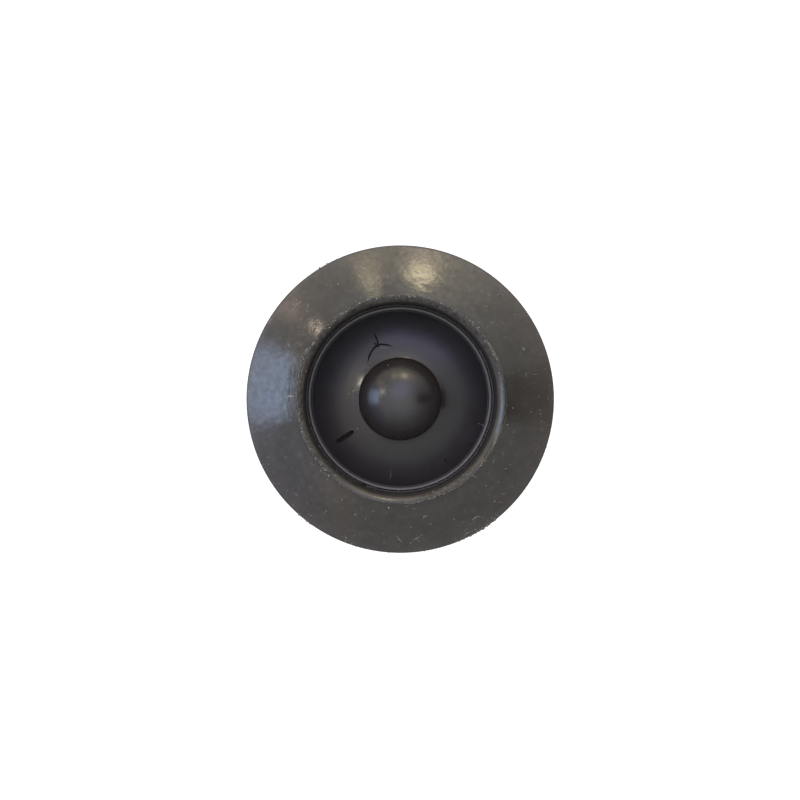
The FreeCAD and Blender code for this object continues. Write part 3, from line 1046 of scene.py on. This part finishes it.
# real scratches, whose pale colour is partly a painted glint
rubbed = bmesh.new()
for path in SCRATCHES:
    thread(rubbed, [place(*pixel) for pixel in path], SCRATCH_WIDTH * PIXEL)
scratch_lines = piece("scratch_lines", rubbed, scratch_glint_paint)

# painted highlight along the groove's floor
rubbed = bmesh.new()
first, last, reach_px, width = GROOVE_HIGHLIGHT
thread(rubbed, [ring_point(reach_px, bearing) for bearing in range(first, last, 2)], width * PIXEL)
groove_highlight_line = piece("groove_highlight_line", rubbed, rubbed_rubber)

slivers = bmesh.new()
for _ in range(CREST_SLIVERS):
    bearing = random.uniform(0, 360)
    start = crest_point(random.gauss(0, 0.8), bearing)
    thread(slivers, bent(start, bearing + random.choice((60, 90, 120, 20)), random.uniform(1.5, 5.5) * PIXEL,
                         random.uniform(-30, 30), 3), random.uniform(0.22, 0.5) * PIXEL)
for first, last, radius_px, width in STRIPS:
    count = int(abs(last - first) * 0.9)
    arc = []
    for i in range(count + 1):
        bearing = first + (last - first) * i / count
        wander = 0.9 * noise.noise(Vector((bearing * 0.22, first, 2.5))) + random.uniform(-0.22, 0.22)
        arc.append(crest_point(radius_px - CREST_PX + wander, bearing) + Vector((0, 0, 0.02 * MM)))
    thread(slivers, arc, width * PIXEL)
crest_slivers = piece("crest_slivers", slivers, torn_rubber)
for made in (lint_threads, scratch_lines, groove_highlight_line, crest_slivers):
    print(made.name, len(made.data.polygons), "faces")

# %% [markdown]
# ## The floor
#
# The photograph's background is plain white, with no shadow to speak of. The floor is a pale matt board.
# To the camera and in reflections it also glows, so that it shows as white, but the light that it sends
# up to the plug is only what such a board gives back, and the plug's shadow stays on it.

# %% Floor
FLOOR_SIDE = 1.2


def pale_floor():
    """A pale board that looks white, and lights the plug no more than a board would."""
    material, tree = new_material("pale_matt_board")
    path = add(tree, "ShaderNodeLightPath")
    board = add(tree, "ShaderNodeBsdfDiffuse", Color=linear("b0b0b0"))
    white = add(tree, "ShaderNodeEmission", Color=(1, 1, 1, 1), Strength=0.9)
    both = add(tree, "ShaderNodeAddShader", in0=board.outputs[0], in1=white.outputs[0])
    looks = path.outputs["Is Camera Ray"]
    for kind in ("Is Glossy Ray", "Is Transmission Ray"):
        looks = add(tree, "ShaderNodeMath", {"operation": "MAXIMUM"}, in0=looks,
                    in1=path.outputs[kind]).outputs[0]
    seen = add(tree, "ShaderNodeMixShader", Fac=looks, in1=board.outputs[0], in2=both.outputs[0])
    add(tree, "ShaderNodeOutputMaterial", Surface=seen.outputs[0])
    return material


floor_mesh = bmesh.new()
bmesh.ops.create_grid(floor_mesh, x_segments=1, y_segments=1, size=FLOOR_SIDE / 2,
                      matrix=Matrix.Translation((0, 0, cad_low.z)))
floor_data = bpy.data.meshes.new("floor")
floor_mesh.to_mesh(floor_data)
floor_mesh.free()
floor = bpy.data.objects.new("floor", floor_data)
bpy.context.scene.collection.objects.link(floor)
floor_data.materials.append(pale_floor())
print("floor at", round(cad_low.z / MM, 2), "mm")

# %% [markdown]
# ## The camera
#
# The camera looks straight down. Its distance and the skirt's width in the image give the lens. It
# stands a little off the axis, as the rings in the photograph show, and a small shift of the lens brings
# the plug back to its place in the frame without turning the camera.

# %% Camera
SENSOR = 36.0

camera_data = bpy.data.cameras.new("camera")
camera = bpy.data.objects.new("camera", camera_data)
bpy.context.scene.collection.objects.link(camera)
bpy.context.scene.camera = camera
camera_data.sensor_width = SENSOR
camera_data.lens = SKIRT_RADIUS_PX / PHOTO_SIDE * SENSOR * CAMERA_DISTANCE / skirt_radius
camera.location = camera_place
off_centre = (PHOTO_SIDE / 2 - SKIRT_CENTRE_PX.x, SKIRT_CENTRE_PX.y - PHOTO_SIDE / 2)
camera_data.shift_x = off_centre[0] / PHOTO_SIDE - CAMERA_LEAN.x * camera_data.lens / SENSOR
camera_data.shift_y = off_centre[1] / PHOTO_SIDE - CAMERA_LEAN.y * camera_data.lens / SENSOR
camera_data.clip_start = 0.01
camera_data.clip_end = 5.0
print("lens, mm:", round(camera_data.lens, 1))

# %% [markdown]
# ## The light
#
# Black rubber shows mostly what it mirrors, so the light is a whole sky of soft patches, placed where
# the photograph's reflections say that they are. The knob is a ball, and a ball's tilt grows with the
# distance from its middle, so each highlight on it tells the direction of its lamp: twice the tilt.
# The skirt works the same way: it is a cone, so all of it mirrors one narrow ring of the sky.
# A dim sky fades towards the horizon. Soft lamps and one dark post are laid on it, each with its
# bearing, clockwise from the image's top, and its zenith angle from straight up.

# %% Sky table
# The sky's height, 0 at the horizon and 1 straight up, and its radiance there.
SKY_BY_HEIGHT = [
    (0.0, 0.03), (0.35, 0.06), (0.45, 0.15), (0.616, 0.43), (0.777, 0.8), (0.914, 1.3), (1.0, 1.6),
]
SKY_SCALE = 2.0  # a ramp holds colours up to 1, so the radiance is divided by this and scaled up again

# Name, bearing, zenith, width and height in degrees, softness of the rim, radiance, colour, square or
# not. A name that begins with dark covers what lies behind it, and all others add their light.
SKY_PATCHES = [
    ("bright_wall", 6, 60, 110, 56, 0.35, 0.80, "f0ead8", False),
    ("low_warm_wall", -25, 75, 110, 26, 0.5, 0.80, "fff0d0", False),
    ("overhead", -10, 18, 48, 28, 0.6, 1.20, "bcbcff", False),
    ("pale_ceiling", 15, 34, 44, 20, 0.5, 0.38, "b0b0ff", False),
    ("beige_ceiling", -100, 35, 80, 13, 0.5, 0.46, "ffd4a0", False),
    ("window", -84.5, 50.5, 24.5, 11.0, 0.12, 5.4, "b8d1f8", True),
    ("window_low", -84.5, 64, 24, 14, 0.5, 3.4, "b8ccf0", True),
    ("window_glow", -109, 56, 54, 44, 0.6, 0.30, "a0b4ff", False),
    ("warm_glow", 14, 52.0, 38, 15, 0.5, 1.1, "ffeed0", False),
    ("warm_lamp", 10.2, 49.9, 10.4, 5.2, 0.45, 14.8, "ffeabc", False),
    ("weak_lamp", -14, 50.0, 7.5, 10.0, 0.4, 4.3, "ffecb8", False),
    ("pink_lamp", -50, 44.7, 4.4, 1.0, 0.5, 18.5, "ffe6cc", False),
    ("low_pink_lamp", -51, 55.0, 6, 4.0, 0.5, 8.0, "ffdcc4", False),
    ("white_lamp", -67, 39.6, 6.5, 4.0, 0.5, 24.0, "fff6d4", False),
    ("south_glow", 165, 76.0, 110, 30, 0.5, 0.24, "f4ecec", False),
    ("dark_post", 90, 52, 18, 36, 0.3, 0.01, "403030", True),
]
print("sky patches:", len(SKY_PATCHES))

# %% [markdown]
# ### One soft patch
#
# A patch needs no lamp object. For each direction of view, two dot products say how far it lies from the
# patch's middle, across and upwards, as shares of half the patch's width and height. The larger of the
# two gives a square patch, such as a window, and their length gives an oval one. A smooth step fades the
# rim, and a third dot product keeps the patch from showing on the opposite side too.

# %% One soft patch


def sky_patch(tree, view, total, bearing, zenith, width, height, soft, radiance, colour, square, dark):
    """Adds one soft patch to the sky's colour, or covers the sky with it where it is dark."""
    b, z = math.radians(bearing), math.radians(zenith)
    toward = Vector((math.sin(z) * math.sin(b), math.sin(z) * math.cos(b), math.cos(z)))
    across = Vector((math.cos(b), -math.sin(b), 0))
    upward = toward.cross(across)
    share = []
    for axis, size in ((across, width), (upward, height)):
        scaled = axis / math.sin(math.radians(size / 2))
        dot = add(tree, "ShaderNodeVectorMath", {"operation": "DOT_PRODUCT"}, in0=view, in1=scaled)
        off = add(tree, "ShaderNodeMath", {"operation": "ABSOLUTE"}, in0=dot.outputs["Value"])
        share.append(off.outputs[0])
    if square:
        away = add(tree, "ShaderNodeMath", {"operation": "MAXIMUM"}, in0=share[0], in1=share[1]).outputs[0]
    else:
        both = add(tree, "ShaderNodeCombineXYZ", in0=share[0], in1=share[1])
        away = add(tree, "ShaderNodeVectorMath", {"operation": "LENGTH"}, in0=both.outputs[0])
        away = away.outputs["Value"]
    inside = add(tree, "ShaderNodeMapRange", {"interpolation_type": "SMOOTHSTEP"}, in0=away, in1=1 - soft,
                 in2=1 + soft, in3=1.0, in4=0.0)
    ahead = add(tree, "ShaderNodeVectorMath", {"operation": "DOT_PRODUCT"}, in0=view, in1=toward)
    front = add(tree, "ShaderNodeMath", {"operation": "GREATER_THAN"}, in0=ahead.outputs["Value"], in1=0.0)
    mask = add(tree, "ShaderNodeMath", {"operation": "MULTIPLY"}, in0=inside.outputs[0],
               in1=front.outputs[0])
    glow = [radiance * c for c in linear(colour)[:3]] + [1.0]
    laid = add(tree, "ShaderNodeMix", {"data_type": "RGBA", "blend_type": "MIX" if dark else "ADD"},
               in0=mask.outputs[0], in6=total, in7=glow)
    return laid.outputs[2]


# %% Sky
world = bpy.data.worlds.new("studio")
bpy.context.scene.world = world
world.use_nodes = True
sky = world.node_tree
sky.nodes.clear()
view = add(sky, "ShaderNodeTexCoord").outputs["Generated"]
height = add(sky, "ShaderNodeSeparateXYZ", in0=view)
fade = add(sky, "ShaderNodeValToRGB", Fac=height.outputs[2])
steps = fade.color_ramp.elements
while len(steps) < len(SKY_BY_HEIGHT):
    steps.new(0.5)
for step, (position, value) in zip(steps, SKY_BY_HEIGHT):
    step.position = position
    step.color = (value / SKY_SCALE, value / SKY_SCALE, value / SKY_SCALE, 1)
total = add(sky, "ShaderNodeVectorMath", {"operation": "SCALE"}, in0=fade.outputs[0],
            Scale=SKY_SCALE).outputs[0]
for name, *patch in SKY_PATCHES:
    total = sky_patch(sky, view, total, *patch, dark=name.startswith("dark"))
air = add(sky, "ShaderNodeBackground", Color=total, Strength=1.0)
add(sky, "ShaderNodeOutputWorld", Surface=air.outputs[0])
bpy.context.scene.view_settings.view_transform = "Standard"
print("sky:", len(sky.nodes), "nodes")
